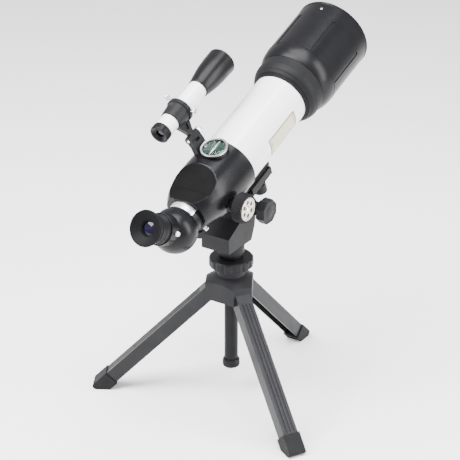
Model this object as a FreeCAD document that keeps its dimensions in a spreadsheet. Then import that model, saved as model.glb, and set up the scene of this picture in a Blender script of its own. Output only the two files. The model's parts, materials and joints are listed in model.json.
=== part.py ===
import FreeCAD, Part
import math
import os
import Sketcher

# A 60 mm refracting travel telescope with a finder, a compass and a 45 degree
# prism, on a folding table-top tripod. Millimetres, +Z up, +Y the way the
# telescope points, origin on the table under the middle of the object.

os.makedirs("parts", exist_ok=True)
doc = FreeCAD.newDocument("telescope")
V = FreeCAD.Vector

# ---------------------------------------------------------------- dimensions
DIMS = [
    ("axis_y", -32.99, "pan axis, offset from the origin"),
    ("tube_z", 303.6, "height where the optical axis crosses the pan axis"),
    ("altitude", 21.05, "resting elevation of the optical axis, degrees"),
    ("tube_rad", 34.0, "main tube outer radius"),
    ("tube_wall", 1.5, "main tube wall"),
    ("tube_front", 118.0, "main tube front end"),
    ("cell_rad", 43.0, "objective cell outer radius"),
    ("shield_rad", 47.4, "dew shield outer radius"),
    ("shield_lip", 48.0, "dew shield lip radius"),
    ("shield_front", 241.8, "dew shield front face"),
    ("shield_back", 140.2, "dew shield rear edge"),
    ("spigot_rad", 40.0, "spigot that the dew shield pushes on"),
    ("lens_rad", 31.0, "objective radius"),
    ("house_rad", 36.0, "housing radius at its front"),
    ("draw_rad", 21.0, "drawtube outer radius"),
    ("draw_wall", 3.0, "drawtube wall"),
    ("draw_back", -106.0, "drawtube rear end"),
    ("ball_rad", 26.2, "prism elbow radius"),
    ("ball_pos", -121.5, "prism elbow centre"),
    ("port_rad", 17.9, "eyepiece port outer radius"),
    ("barrel_rad", 15.875, "eyepiece barrel radius"),
    ("eye_rad", 17.0, "eyepiece body radius"),
    ("cup_rad", 20.4, "eyecup rim radius"),
    ("wheel_rad", 17.0, "focus wheel radius"),
    ("wheel_pos", -57.0, "focus wheel axis along the tube"),
    ("wheel_drop", -8.75, "focus wheel axis below the optical axis"),
    ("compass_rad", 15.9, "compass radius"),
    ("compass_pos", -24.5, "compass centre along the tube"),
    ("finder_off", 86.7, "finder axis distance from the optical axis"),
    ("finder_turn", 29.0, "finder position left of the top, degrees"),
    ("finder_rad", 11.0, "finder tube radius"),
    ("finder_hood_rad", 17.2, "finder hood radius"),
    ("knuckle_off", 54.5, "finder knuckle distance from the optical axis"),
    ("pivot_pos", -8.8, "altitude pivot along the tube"),
    ("pivot_drop", -60.2, "altitude pivot below the optical axis"),
    ("head_half", 19.0, "head half width"),
    ("lug_half", 7.0, "tilt plate lug half width"),
    ("bolt_rad", 3.0, "altitude bolt radius"),
    ("knob_rad", 15.6, "altitude knob radius"),
    ("neck_rad", 15.6, "head neck radius"),
    ("ring_rad", 26.2, "lock ring radius"),
    ("ring_low", 170.0, "lock ring underside"),
    ("ring_high", 181.5, "lock ring top"),
    ("boss_rad", 16.7, "hub boss radius"),
    ("hub_low", 130.0, "hub underside"),
    ("column_rad", 8.2, "centre column radius"),
    ("column_low", 44.5, "centre column lower end"),
    ("leg_reach", 22.0, "leg pin distance from the pan axis"),
    ("leg_rise", 139.5, "leg pin height"),
    ("leg_width", 18.5, "leg channel width"),
    ("leg_half", 8.3, "leg channel half depth"),
    ("leg_len", 187.0, "leg length from its pin"),
    ("leg_pin", 2.0, "leg pin radius"),
    ("foot_width", 21.6, "foot width"),
]


C45 = math.sqrt(0.5)


class Q:
    """A number that also carries its spreadsheet expression."""

    def __init__(self, v, e=None):
        self.v = float(v)
        self.e = e

    @staticmethod
    def of(o):
        return o if isinstance(o, Q) else Q(o)

    def txt(self):
        return self.e if self.e else "(%.6f)" % self.v

    def _op(self, o, sign, val):
        o = Q.of(o)
        e = None
        if self.e or o.e:
            e = "(%s %s %s)" % (self.txt(), sign, o.txt())
        return Q(val, e)

    def __add__(self, o):
        return self._op(o, "+", self.v + Q.of(o).v)

    def __radd__(self, o):
        return Q.of(o)._op(self, "+", self.v + Q.of(o).v)

    def __sub__(self, o):
        return self._op(o, "-", self.v - Q.of(o).v)

    def __rsub__(self, o):
        return Q.of(o)._op(self, "-", Q.of(o).v - self.v)

    def __mul__(self, o):
        return self._op(o, "*", self.v * Q.of(o).v)

    def __rmul__(self, o):
        return Q.of(o)._op(self, "*", self.v * Q.of(o).v)

    def __neg__(self):
        return Q(0) - self


sheet = doc.addObject("Spreadsheet::Sheet", "dims")
D = {}
for row, (alias, val, note) in enumerate(DIMS, 1):
    sheet.set("A%d" % row, note)
    sheet.set("B%d" % row, repr(val))
    sheet.setAlias("B%d" % row, alias)
    D[alias] = Q(val, "dims." + alias)
doc.recompute()
PARTS = []      # (node name, object)


# ------------------------------------------------------------------- helpers
def bind(obj, prop, q):
    q = Q.of(q)
    if q.e:
        obj.setExpression(prop, q.e)
    else:
        setattr(obj, prop, q.v)


def keep(obj, label=None):
    if label:
        obj.Label = label
    PARTS.append((obj.Label, obj))
    return obj


def new_body(label, place=None):
    b = doc.addObject("PartDesign::Body", "Body_" + label)
    b.Label = label
    if place is not None:
        b.Placement = place
    return b


def sketch(body, plane, off=0.0):
    sk = body.newObject("Sketcher::SketchObject", "Sketch")
    pl = [o for o in body.Origin.OriginFeatures if o.Role == plane + "_Plane"][0]
    sk.AttachmentSupport = (pl, [""])
    sk.MapMode = "FlatFace"
    off = Q.of(off)
    if off.v or off.e:
        sk.AttachmentOffset = FreeCAD.Placement(V(0, 0, off.v), FreeCAD.Rotation())
        if off.e:
            sk.setExpression("AttachmentOffset.Base.z", off.e)
    return sk


def pin_point(sk, geo, pos, x, y):
    for kind, q in (("DistanceX", Q.of(x)), ("DistanceY", Q.of(y))):
        i = sk.addConstraint(Sketcher.Constraint(kind, -1, 1, geo, pos, q.v))
        if q.e:
            sk.setExpression("Constraints[%d]" % i, q.e)


def curve(pa, pm, pb, k):
    """Arc from pa to pb through pm. On a profile turned about an axis that
    the arc's full circle would reach (k names it), it is a spline."""
    arc = Part.Arc(pa, pm, pb)
    if k is None:
        return arc
    c = Part.Circle(pa, pm, pb)
    if (c.Center.y, c.Center.x)[k] - c.Radius > 0.05:
        return arc
    bs = Part.BSplineCurve()
    run = arc.toShape().discretize(9)
    if run[0].distanceToPoint(pa) > 1e-6:
        run.reverse()
    run[0], run[-1] = pa, pb
    bs.interpolate(run)
    return bs


def outline(sk, pts, k=None):
    """Closed outline; a point is (x, y), or (x, y, mx, my) for an arc that
    arrives at x, y through mx, my."""
    n = len(pts)
    geo = []
    for i in range(n):
        a, b = pts[i], pts[(i + 1) % n]
        pa = V(Q.of(a[0]).v, Q.of(a[1]).v, 0)
        pb = V(Q.of(b[0]).v, Q.of(b[1]).v, 0)
        if len(b) == 4:
            g = sk.addGeometry(curve(pa, V(Q.of(b[2]).v, Q.of(b[3]).v, 0), pb, k))
            c = sk.Geometry[g]
            ends = (1, 2) if c.StartPoint.distanceToPoint(pa) < 1e-6 else (2, 1)
        else:
            g = sk.addGeometry(Part.LineSegment(pa, pb))
            ends = (1, 2)
        geo.append((g, ends))
    for i in range(n):
        g, e = geo[i]
        g2, e2 = geo[(i + 1) % n]
        sk.addConstraint(Sketcher.Constraint("Coincident", g, e[1], g2, e2[0]))
        pin_point(sk, g, e[0], pts[i][0], pts[i][1])
        c = sk.Geometry[g]
        if hasattr(c, "Radius"):
            dx = abs(c.EndPoint.x - c.StartPoint.x)
            dy = abs(c.EndPoint.y - c.StartPoint.y)
            if dx >= dy:
                sk.addConstraint(Sketcher.Constraint("DistanceY", -1, 1, g, 3, c.Center.y))
            else:
                sk.addConstraint(Sketcher.Constraint("DistanceX", -1, 1, g, 3, c.Center.x))
    return sk


def disc(sk, x, y, rad):
    q = Q.of(rad)
    g = sk.addGeometry(Part.Circle(V(Q.of(x).v, Q.of(y).v, 0), V(0, 0, 1), q.v))
    pin_point(sk, g, 3, x, y)
    i = sk.addConstraint(Sketcher.Constraint("Radius", g, q.v))
    if q.e:
        sk.setExpression("Constraints[%d]" % i, q.e)
    return sk


def pad(body, sk, length, sym=False, rev=False):
    f = body.newObject("PartDesign::Pad", "Pad")
    f.Profile = sk
    bind(f, "Length", length)
    if sym:
        f.SideType = "Symmetric"
    f.Reversed = rev
    return f


def pocket(body, sk, length, sym=False, rev=False):
    f = body.newObject("PartDesign::Pocket", "Pocket")
    f.Profile = sk
    bind(f, "Length", length)
    if sym:
        f.SideType = "Symmetric"
    f.Reversed = rev
    return f


def revolve(body, sk, axis="H_Axis"):
    f = body.newObject("PartDesign::Revolution", "Revolution")
    f.Profile = sk
    f.ReferenceAxis = (sk, [axis])
    f.Angle = 360
    return f


def groove(body, sk, axis="H_Axis"):
    f = body.newObject("PartDesign::Groove", "Groove")
    f.Profile = sk
    f.ReferenceAxis = (sk, [axis])
    f.Angle = 360
    return f


def around(body, feats, axis, count):
    """Polar pattern of features about one of the body's own axes."""
    f = body.newObject("PartDesign::PolarPattern", "Polar")
    f.Originals = feats
    ax = [o for o in body.Origin.OriginFeatures if o.Role == axis + "_Axis"][0]
    f.Axis = (ax, [""])
    f.Angle = 360
    f.Occurrences = count
    body.Tip = f
    return f


def turned(label, pts, place=None, done=True):
    """A turned piece: profile of (along, radius) about the local Y axis."""
    b = new_body(label, place)
    revolve(b, outline(sketch(b, "YZ"), pts, 0))
    return keep(b) if done else b


def upright(label, pts, place=None):
    """A turned piece about the local Z axis: profile of (radius, height)."""
    b = new_body(label, place)
    revolve(b, outline(sketch(b, "XZ"), pts, 1), "V_Axis")
    return keep(b)


def lens(a, b, rad):
    """Point that ends a spherical lens face from its apex a to its edge b."""
    rho = ((b - a) ** 2 + rad ** 2) / (2 * abs(b - a))
    half = math.asin(min(1.0, rad / rho)) / 2
    sgn = 1 if b > a else -1
    return a + sgn * rho * (1 - math.cos(half)), rho * math.sin(half)


def solid(kind, place=None, **sizes):
    o = doc.addObject("Part::" + kind, kind)
    for k, q in sizes.items():
        bind(o, k, q)
    if place is not None:
        o.Placement = place
    return o


def rod(base, direction, rad, length):
    return solid("Cylinder", FreeCAD.Placement(V(*base), FreeCAD.Rotation(V(0, 0, 1), V(*direction))),
                 Radius=rad, Height=length)


def cut(base, tool, label="Cut"):
    o = doc.addObject("Part::Cut", label)
    o.Base, o.Tool = base, tool
    return o


def fuse(items, label="Fuse"):
    o = doc.addObject("Part::MultiFuse", label)
    o.Shapes = items
    return o


def turn(axis, deg, base=(0, 0, 0)):
    return FreeCAD.Placement(V(*base), FreeCAD.Rotation(V(*axis), deg))


# -------------------------------------------------------------------- frames
AY = D["axis_y"]
STAND = FreeCAD.Placement(V(0, AY.v, 0), FreeCAD.Rotation())
TUBE = turn((1, 0, 0), D["altitude"].v, (0, AY.v, D["tube_z"].v))
EYE = TUBE.multiply(turn((1, 0, 0), 135, (0, D["ball_pos"].v, 0)))
SPOT = TUBE.multiply(turn((0, 1, 0), -D["finder_turn"].v))
AZIMUTHS = (("right", -30.0), ("front", 90.0), ("left", 210.0))


def leg_frame(az):
    return STAND.multiply(turn((0, 0, 1), az)).multiply(
        turn((0, 1, 0), 45, (D["leg_reach"].v, 0, D["leg_rise"].v)))


# ================================================================== TRIPOD
# Hub: three forked arms, a chamfered top, a boss and a threaded spigot.
hub = new_body("tripod_hub", STAND)
cr, ca = 32.31, 21.8
pts = []
for _, az in AZIMUTHS:
    for da in (-ca, ca):
        pts.append((cr * math.cos(math.radians(az + da)), cr * math.sin(math.radians(az + da))))
pad(hub, outline(sketch(hub, "XY", D["hub_low"]), pts), 29.2)
groove(hub, outline(sketch(hub, "XZ"), [(40, 145.5), (40, 172), (D["boss_rad"], 172), (D["boss_rad"], 159.06)]), "V_Axis")
pad(hub, disc(sketch(hub, "XY", 150), 0, 0, D["boss_rad"]), 16)
pad(hub, disc(sketch(hub, "XY", 160), 0, 0, 13.0), 18)
pocket(hub, disc(sketch(hub, "XY", 190), 0, 0, 10.0), 80)
LR, LZ = D["leg_reach"], D["leg_rise"]
slot = pocket(hub, outline(sketch(hub, "YZ"), [(LR - 8.95, 128), (LR - 8.95, LZ), (41, LZ), (41, 128)]), 18.9, sym=True)
knee = pocket(hub, disc(sketch(hub, "YZ"), LR, LZ, 8.95), 18.9, sym=True)
hole = pocket(hub, disc(sketch(hub, "YZ"), LR, LZ, D["leg_pin"] + 0.02), 30, sym=True)
around(hub, [slot, knee, hole], "Z", 3)
keep(hub)

pins = []
for _, az in AZIMUTHS:
    t = math.radians(az)
    d = (-math.sin(t), math.cos(t), 0)
    b = (LR.v * math.cos(t) - 12.2 * d[0], AY.v + LR.v * math.sin(t) - 12.2 * d[1], LZ.v)
    pins.append(rod(b, d, D["leg_pin"], 24.4))
comp = doc.addObject("Part::Compound", "Pins")
comp.Links = pins
keep(comp, "leg_pins")

upright("column_bush", [(D["column_rad"] + 0.05, 131), (9.97, 131), (9.97, 177.8), (D["column_rad"] + 0.05, 177.8)], STAND)

# Legs: channels open underneath, with a ribbed back and a rounded pin end.
for name, az in AZIMUTHS:
    fr = leg_frame(az)
    leg = new_body("leg_" + name, fr)
    H, L = D["leg_half"], D["leg_len"]
    pad(leg, outline(sketch(leg, "XZ"), [(0, -H), (0, H), (L, H), (L, -H)]), D["leg_width"], sym=True)
    pad(leg, disc(sketch(leg, "XZ"), 0, 0, H), D["leg_width"], sym=True)
    pocket(leg, outline(sketch(leg, "XZ"), [(16, -H - 1), (16, H - 4.2), (18, H - 2.2), (L + 1, H - 2.2), (L + 1, -H - 1)]),
           D["leg_width"] - 4, sym=True)
    for y in (-4.4, 0, 4.4):
        pocket(leg, outline(sketch(leg, "XY", H), [(14, y - 1.2), (L - 13, y - 1.2), (L - 13, y + 1.2), (14, y + 1.2)]), 0.5)
    pocket(leg, disc(sketch(leg, "XZ"), 0, 0, D["leg_pin"] + 0.05), 30, sym=True)
    keep(leg)
    foot = new_body("foot_" + name, fr)
    pad(foot, outline(sketch(foot, "XZ"), [
        (L - 12.3, -10), (L + 0.28, -10), (L + 12.68, 2.4), (L + 13.1, 6.2), (L + 12.3, 8.2), (L + 10.3, 9.2), (L - 12.3, 9.2)]),
        D["foot_width"], sym=True)
    pocket(foot, outline(sketch(foot, "YZ", L - 12.3), [
        (-9.3, -8.35), (-9.3, 8.35), (9.3, 8.35), (9.3, -8.35), (7.2, -8.35), (7.2, 6.05), (-7.2, 6.05), (-7.2, -8.35)]),
        12.4, rev=True)
    keep(foot)

# Centre column with its end cap, and the spindle that the head turns on.
upright("column", [(5.0, D["column_low"]), (D["column_rad"], D["column_low"]), (D["column_rad"], 182), (5.0, 182)], STAND)
upright("column_cap", [(0, 34.2), (9.1, 34.2), (10.1, 35.2), (10.1, 43.0), (9.4, 44.4), (4.95, 44.4), (4.95, 53), (0, 53)], STAND)
upright("column_head", [(0, 170), (4.95, 170), (4.95, 182.1), (14.2, 182.1), (14.2, 186.8), (6.0, 186.8), (6.0, 204), (0, 204)], STAND)

ring = new_body("lock_ring", STAND)
R, lo, hi = D["ring_rad"], D["ring_low"], D["ring_high"]
revolve(ring, outline(sketch(ring, "XZ"), [
    (13.06, lo), (R - 1.2, lo), (R, lo + 1.2), (R, hi - 1.5), (R - 1.5, hi), (8.9, hi), (8.9, 178.3), (13.06, 178.3)]), "V_Axis")
fl = pocket(ring, disc(sketch(ring, "XY", hi + 1), R + 3.4, 0, 4.4), 14)
around(ring, [fl], "Z", 14)
keep(ring)

# ==================================================================== HEAD
pv_y = D["pivot_pos"].v * math.cos(math.radians(D["altitude"].v)) - D["pivot_drop"].v * math.sin(math.radians(D["altitude"].v))
pv_z = D["tube_z"].v + D["pivot_pos"].v * math.sin(math.radians(D["altitude"].v)) + D["pivot_drop"].v * math.cos(math.radians(D["altitude"].v))
head = new_body("head_bracket", STAND)
pad(head, outline(sketch(head, "YZ"), [
    (-33.5, 201.5), (14.3, 201.5), (20.9, 217.5), (pv_y + 11.4, pv_z), (pv_y - 8.0, pv_z + 8.1), (-9.9, 233.7), (-34, 220)]), D["head_half"] * 2, sym=True)
pad(head, disc(sketch(head, "YZ"), pv_y, pv_z, 11.4), D["head_half"] * 2, sym=True)
pad(head, disc(sketch(head, "XY", 187.2), 0, 0, D["neck_rad"]), 16)
pocket(head, disc(sketch(head, "XY", 204.6), 0, 0, 6.05), 30)
pocket(head, disc(sketch(head, "YZ"), pv_y, pv_z, 16.5), 2 * D["lug_half"] + 0.4, sym=True)
pocket(head, disc(sketch(head, "YZ"), pv_y, pv_z, D["bolt_rad"] + 0.02), 60, sym=True)
keep(head)

PB = (0, AY.v + pv_y, pv_z)
bolt = fuse([rod((-21.5, PB[1], PB[2]), (1, 0, 0), D["bolt_rad"], 62.5), rod((-23.5, PB[1], PB[2]), (1, 0, 0), 5.6, 4.3)])
keep(bolt, "altitude_bolt")

knob = new_body("altitude_knob", FreeCAD.Placement(V(*PB), FreeCAD.Rotation()))
KR = D["knob_rad"]
star = []
for i in range(8):
    t = math.radians(45 * i + 22.5)
    star.append((KR.v * math.cos(t), KR.v * math.sin(t)))
pad(knob, outline(sketch(knob, "YZ", 33.5), star), 11.5)
pad(knob, disc(sketch(knob, "YZ", 19.4), 0, 0, 8.2), 15)
pocket(knob, disc(sketch(knob, "YZ", 19.0), 0, 0, D["bolt_rad"] + 0.03), 22.6, rev=True)
keep(knob)

# =============================================================== TILT PLATE
# Tube frame: Y along the optical axis, Z up from it, X to the right.
plate = new_body("tilt_plate", TUBE)
PS, PD, LH = D["pivot_pos"], D["pivot_drop"], D["lug_half"]
pad(plate, outline(sketch(plate, "YZ"), [(5, -57), (48, -57), (48, -47.05), (5, -47.05)]), 30, sym=True)
pad(plate, outline(sketch(plate, "YZ"), [
    (PS - 9, PD), (PS + 9, PD), (PS + 15, -56.5), (PS + 15, -47.05), (PS - 11.2, -47.05), (PS - 11.2, -56.0)]), 2 * LH, sym=True)
pad(plate, disc(sketch(plate, "YZ"), PS, PD, 9), 2 * LH, sym=True)
pocket(plate, disc(sketch(plate, "YZ"), PS, PD, D["bolt_rad"] + 0.05), 40, sym=True)
pocket(plate, disc(sketch(plate, "XY", -40), 0, 37, 3.1), 30)
keep(plate)

pk = new_body("plate_screw", TUBE)
pad(pk, disc(sketch(pk, "XY", -81.0), 0, 37, 8.2), 12)
pad(pk, disc(sketch(pk, "XY", -69.5), 0, 37, 5.0), 12)
pad(pk, disc(sketch(pk, "XY", -60), 0, 37, 3.0), 18)
keep(pk)

rail = new_body("rail_blank", TUBE)
pad(rail, outline(sketch(rail, "YZ"), [(-28, -47), (50, -47), (50, -38), (-2, -38), (-5, -30), (-28, -30)]), 24, sym=True)
groove(rail, outline(sketch(rail, "YZ"), [(-60, 0), (-60, 38), (-40.0, 36.7), (-3, 36.1), (0, 36.1), (0, 0)]))
pocket(rail, disc(sketch(rail, "XY", -50), 0, 37, 3.06), 8.5, rev=True)

# ================================================================ MAIN TUBE
TR = D["tube_rad"]
TI = TR - D["tube_wall"]
TF = D["tube_front"]
turned("main_tube", [(-30, TI), (TF, TI), (TF, TR), (-30, TR)], TUBE)
turned("tube_baffle", [(58, 24), (59.2, 24), (60, TI - 0.7), (68, TI - 0.7), (68, TI - 0.05), (58, TI - 0.05)], TUBE)

CR, SP = D["cell_rad"], D["spigot_rad"]
turned("objective_cell", [
    (112, TR + 0.05), (112, 35.2), (113, 36.2), (121, 40.5, 117.5, 37.8), (128, 42.7, 124.5, 41.9), (139.8, CR),
    (139.8, SP), (154, SP), (154, 33.15), (136.7, 33.15), (136.7, 31.05), (127.5, 31.05), (127.5, 29), (119, 29), (119, TR + 0.05)], TUBE)
LRD = D["lens_rad"]
turned("objective_crown", [(131.4, 0), (134.0, LRD) + lens(131.4, 134.0, 31), (136.5, LRD), (139.5, 0) + lens(139.5, 136.5, 31)], TUBE)
turned("objective_flint", [(128.0, 0), (128.0, LRD), (133.7, LRD), (131.1, 0) + lens(131.1, 133.7, 31)], TUBE)
turned("objective_retainer", [(137.0, 29.3), (137.0, 33.1), (140.5, 33.1), (140.5, 30.6)], TUBE)

SR, SL, SF, SB = D["shield_rad"], D["shield_lip"], D["shield_front"], D["shield_back"]
shade = turned("shield_blank", [
    (SB, SP + 0.05), (SB, 43.1), (SB + 1.2, 43.7), (157, SR, 148.5, 46.3), (SF - 3.2, SR + 0.1), (SF - 2.6, SL), (SF - 0.7, SL),
    (SF, SL - 0.7), (SF, 45.6), (SF - 0.8, 45.1), (158, 45.1), (155, 43.5), (155, SP + 0.05)], TUBE, done=False)
flutes = []
for k in range(6):
    fr = TUBE.multiply(turn((0, 1, 0), 30 + 60 * k))
    flutes.append(solid("Box", fr.multiply(FreeCAD.Placement(V(-2.6, 163, SR.v - 0.75), FreeCAD.Rotation())), Length=5.2, Width=52, Height=4))
    for s in (163, 215):
        flutes.append(solid("Cylinder", fr.multiply(FreeCAD.Placement(V(0, s, SR.v - 0.75), FreeCAD.Rotation())), Radius=2.6, Height=4))
keep(cut(shade, fuse(flutes)), "dew_shield")

# ================================================================== HOUSING
house = new_body("focuser_housing", TUBE)
SECT = [(7.5, 0.0, 36.0), (22, 0.4, 36.1), (40, 1.2, 36.4), (55, 2.4, 36.0), (68, 3.9, 34.4), (80, 5.2, 31.3),
        (88, 5.2, 28.9), (93, 4.2, 27.0), (97.2, 2.6, 25.0)]
sks = [disc(sketch(house, "XZ", s), 0, c, D["house_rad"] + (r - 36.0)) for s, c, r in SECT]
loft = house.newObject("PartDesign::AdditiveLoft", "Loft")
loft.Profile = sks[0]
loft.Sections = sks[1:]
loft.Ruled = False
doc.recompute()
outer_shape = loft.Shape.copy()
WS, WD = D["wheel_pos"], D["wheel_drop"]
pad(house, disc(sketch(house, "YZ", 30), WS, WD, 8.6), 7.6)
DR = D["draw_rad"]
groove(house, outline(sketch(house, "YZ"), [
    (-5, 0), (-5, TR + 0.05), (-30.1, TR + 0.05), (-30.1, 31), (-42, 31), (-58, 24), (-66, DR + 0.06), (-112, DR + 0.06), (-112, 0)]))
# scoop across the top rear
pocket(house, outline(sketch(house, "YZ"), [
    (-49.5, 41), (-78, 23.9, -60.6, 29.4), (-112, 23.3), (-112, 45), (-49.5, 45)]), 90, sym=True)
# rack channel, pinion well and shaft bore on the right
pocket(house, outline(sketch(house, "YZ", 25.1), [(-91.5, -4.6), (-40, -4.6), (-40, 0.7), (-91.5, 0.7)]), 12)
pocket(house, disc(sketch(house, "YZ", 25.1), WS, WD, 5.3), 8)
pocket(house, disc(sketch(house, "YZ", 40), WS, WD, 2.05), 16)
# tapped hole for the lock knob underneath, and one for the tension screw
pocket(house, disc(sketch(house, "XY", -15), 0, -84.5, 1.66), 25)
diag = house.newObject("Sketcher::SketchObject", "Sketch")
diag.AttachmentSupport = ([o for o in house.Origin.OriginFeatures if o.Role == "XY_Plane"][0], [""])
diag.MapMode = "FlatFace"
diag.AttachmentOffset = FreeCAD.Placement(V(0, 0, 0), FreeCAD.Rotation(V(0, 1, 0), 135))
pocket(house, disc(diag, 0, -91.5, 1.56), 40, rev=True)
keep(house)

turned("drawtube", [(-106.0, DR - D["draw_wall"]), (-48, DR - D["draw_wall"]), (-48, DR), (-106.0, DR)], TUBE)

rackb = new_body("focus_rack", TUBE)
rp = [(-70, 0.2), (-41, 0.2), (-41, -4.0)]
s0 = -41.6
while s0 > -68.0:
    rp += [(s0, -4.0), (s0 - 0.5, -2.6), (s0 - 1.1, -2.6), (s0 - 1.6, -4.0)]
    s0 -= 3.0
rp += [(-70, -4.0)]
pad(rackb, outline(sketch(rackb, "YZ", 21.02), rp), 3.4)
keep(rackb)

shaft = new_body("focus_pinion", TUBE)
gp = []
for i in range(10):
    for da, rr in ((-9, 4.6), (-4.0 + 13 - 0, 4.6), (14, 3.2), (22, 3.2)):
        t = math.radians(36 * i + da)
        gp.append((WS.v + rr * math.cos(t), WD.v + rr * math.sin(t)))
pad(shaft, outline(sketch(shaft, "YZ", 21.3), gp), 3.1)
pad(shaft, disc(sketch(shaft, "YZ", 24.0), WS, WD, 2.0), 29)
keep(shaft)

rim = new_body("focus_wheel_rim", TUBE)
pad(rim, disc(sketch(rim, "YZ", 42.6), WS, WD, D["wheel_rad"]), 12.2)
pocket(rim, disc(sketch(rim, "YZ", 60), WS, WD, 13.45), 40)
keep(rim)
face = new_body("focus_wheel_face", TUBE)
pad(face, disc(sketch(face, "YZ", 43.4), WS, WD, 13.4), 12.2)
pocket(face, disc(sketch(face, "YZ", 56.0), WS, WD, 12.0), 1.0)
for i in range(6):
    t = math.radians(60 * i + 12)
    pocket(face, disc(sketch(face, "YZ", 56.0), WS + 8.0 * math.cos(t), WD + 8.0 * math.sin(t), 2.5), 7.0)
pocket(face, disc(sketch(face, "YZ", 43.0), WS, WD, 2.02), 10.2, rev=True)
keep(face)

# drawtube tension screw (small, bright) and the lock knob underneath
c45 = math.sqrt(0.5)
sc = new_body("tension_screw", TUBE.multiply(turn((0, 1, 0), 135, (0, -91.5, 0))))
pad(sc, disc(sketch(sc, "XY", 21.3), 0, 0, 1.5), 6.5)
pad(sc, disc(sketch(sc, "XY", 25.6), 0, 0, 2.6), 2.6)
keep(sc)
lk = new_body("focus_lock_knob", TUBE.multiply(turn((0, 1, 0), 180, (0, -84.5, 0))))
pad(lk, disc(sketch(lk, "XY", 21.4), 0, 0, 1.6), 14)
pad(lk, disc(sketch(lk, "XY", 33.4), 0, 0, 5.4), 10)
keep(lk)

# ==================================================================== ELBOW
BP, BR = D["ball_pos"], D["ball_rad"]
E = V(0, -c45, c45)
tv = lambda s, v=0.0, x=0.0: TUBE.multVec(V(x, s, v))
n_dir = TUBE.Rotation.multVec(V(0, 1, 0))
e_dir = TUBE.Rotation.multVec(E)
bc = tv(BP.v)
ball = solid("Sphere", FreeCAD.Placement(bc, FreeCAD.Rotation()), Radius=BR)
slab = solid("Box", TUBE.multiply(FreeCAD.Placement(V(-40, -106.3, -40), FreeCAD.Rotation())), Length=80, Width=40, Height=80)
ball2 = cut(ball, slab)
neck = rod(tuple(tv(-118)), tuple(n_dir), DR - D["draw_wall"] - 0.06, 26)
port = rod(tuple(bc), tuple(e_dir), D["port_rad"], 34)
bodyf = fuse([ball2, neck, port])
bore_n = rod(tuple(bc), tuple(n_dir), 15.0, 40)
bore_e = rod(tuple(bc + e_dir * 6), tuple(e_dir), D["barrel_rad"] + 0.055, 40)
cav = solid("Sphere", FreeCAD.Placement(bc, FreeCAD.Rotation()), Radius=19.5)
scr_o = tv(BP.v) + e_dir * 26.5
scr_hole = rod(tuple(scr_o), (1, 0, 0), 1.55, 30)
keep(cut(bodyf, fuse([bore_n, bore_e, cav, scr_hole])), "elbow_body")

# roof prism block that turns the light by 45 degrees
prism = new_body("elbow_prism", TUBE)
pad(prism, outline(sketch(prism, "YZ"), [
    (BP + 12, -9), (BP + 12, 9.5), (BP + 3, 15.5), (BP - 15.5, 3.0), (BP - 14.5, -7.5), (BP - 5, -12.5), (BP + 5, -12.5)]), 19, sym=True)
prism_cav = solid("Sphere", FreeCAD.Placement(bc, FreeCAD.Rotation()), Radius=19.4)
pc = doc.addObject("Part::MultiCommon", "PrismCommon")
pc.Shapes = [prism, prism_cav]
prism.Label = "prism_blank"
keep(pc, "elbow_prism")

ER = D["eye_rad"]
turned("eyepiece_body", [
    (14, 13.2), (14, D["barrel_rad"]), (34.2, D["barrel_rad"]), (34.2, ER - 0.5), (34.8, ER), (36.4, ER), (36.8, ER - 0.5), (37.6, ER - 0.5),
    (38.0, ER), (48.4, ER), (48.4, 15.0), (53.6, 15.0), (53.6, 8.1), (49.0, 8.1), (44.0, 13.2)], EYE)
turned("eyepiece_field_lens", [(18, 0), (18, 13.1), (21.5, 13.1), (23.5, 0) + lens(23.5, 21.5, 13.1)], EYE)
turned("eyepiece_eye_lens", [(49.6, 0), (49.6, 8.0), (52.2, 8.0), (53.8, 0) + lens(53.8, 52.2, 8.0)], EYE)
CU = D["cup_rad"]
turned("eyecup", [
    (48.55, 15.05), (48.55, ER + 0.1), (51.4, ER + 0.6), (56.6, CU - 0.9, 54.2, ER + 1.6), (59.4, CU), (60.4, CU - 0.5), (60.4, CU - 1.6), (59.4, CU - 2.4),
    (55.2, 11.0), (54.6, 9.2), (53.7, 9.2), (53.7, 15.05)], EYE)
ps = new_body("port_setscrew", EYE)
pad(ps, disc(sketch(ps, "YZ", 16.1), 26.5, 0, 1.5), 3)
pad(ps, disc(sketch(ps, "YZ", 18.3), 26.5, 0, 2.8), 4.2)
keep(ps)

# ================================================================== COMPASS
CS, CRAD = D["compass_pos"], D["compass_rad"]
solid_house = doc.addObject("Part::Feature", "HousingForm")
solid_house.Shape = outer_shape
solid_house.Placement = TUBE.multiply(outer_shape.Placement)
keep(cut(rail, solid_house), "tube_rail")
CX = 1.4
up = TUBE.Rotation.multVec(V(0, 0, 1))
cupc = rod(tuple(tv(CS.v, 30, CX)), tuple(up), CRAD, 9.5)
cup1 = cut(cupc, solid_house)
well = rod(tuple(tv(CS.v, 37.95, CX)), tuple(up), 13.9, 6)
keep(cut(cup1, well), "compass_cup")
dial = fuse([rod(tuple(tv(CS.v, 37.95, CX)), tuple(up), 13.8, 0.45), rod(tuple(tv(CS.v, 38.3, CX)), tuple(up), 0.6, 1.0)])
keep(dial, "compass_dial")
nd = new_body("compass_needle", TUBE)
skn = sketch(nd, "XY", 38.75)
outline(skn, [(CX, CS - 11), (CX + 1.5, CS), (CX, CS + 11), (CX - 1.5, CS)])
disc(skn, CX, CS, 0.68)
pad(nd, skn, 0.35)
keep(nd)
bz = new_body("compass_bezel", TUBE)
skb = sketch(bz, "XY", 39.52)
disc(skb, CX, CS, CRAD + 0.1)
disc(skb, CX, CS, 13.7)
pad(bz, skb, 1.5)
keep(bz)
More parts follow.
